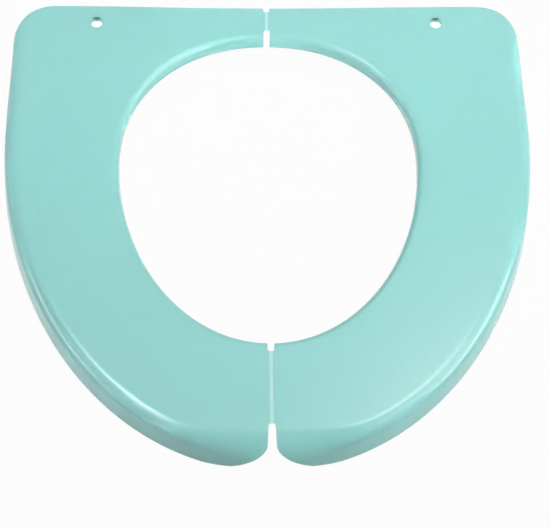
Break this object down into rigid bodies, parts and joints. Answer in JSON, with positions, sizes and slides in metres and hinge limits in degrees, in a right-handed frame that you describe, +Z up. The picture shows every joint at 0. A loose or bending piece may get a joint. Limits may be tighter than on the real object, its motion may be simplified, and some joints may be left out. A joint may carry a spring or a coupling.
{
  "type": "folding toilet training seat",
  "caption": "Thin moulded toilet training seat with an egg-shaped opening and turned-down skirt, made in two halves that fold together on living hinges.",
  "frame": {"origin": "under the middle of the open seat, on the plane of the skirt's foot", "axes": "+X to the right of a child sitting on it with the straight edge behind, +Y to the straight back edge, +Z up from the foot of the skirt to the sitting face; the fold line runs along Y at X = 0"},
  "size_m": [0.314, 0.309, 0.0195],
  "materials": {
    "shell": "moulded polypropylene in pale sea green, glossy with a soft sheen",
    "web": "the same polypropylene, thin enough at the hinges to let light through"
  },
  "bodies": {
    "left_half": {"left_seat_half": "shell", "front_living_hinge": "web", "rear_living_hinge": "web"},
    "right_half": {"right_seat_half": "shell"}
  },
  "joints": [
    {"name": "fold", "type": "hinge", "parent": "left_half", "child": "right_half", "pos_m": [0, 0, 0.01965], "axis": [0, -1, 0], "range_deg": [0, 180], "deforming": ["front_living_hinge", "rear_living_hinge"]}
  ]
}
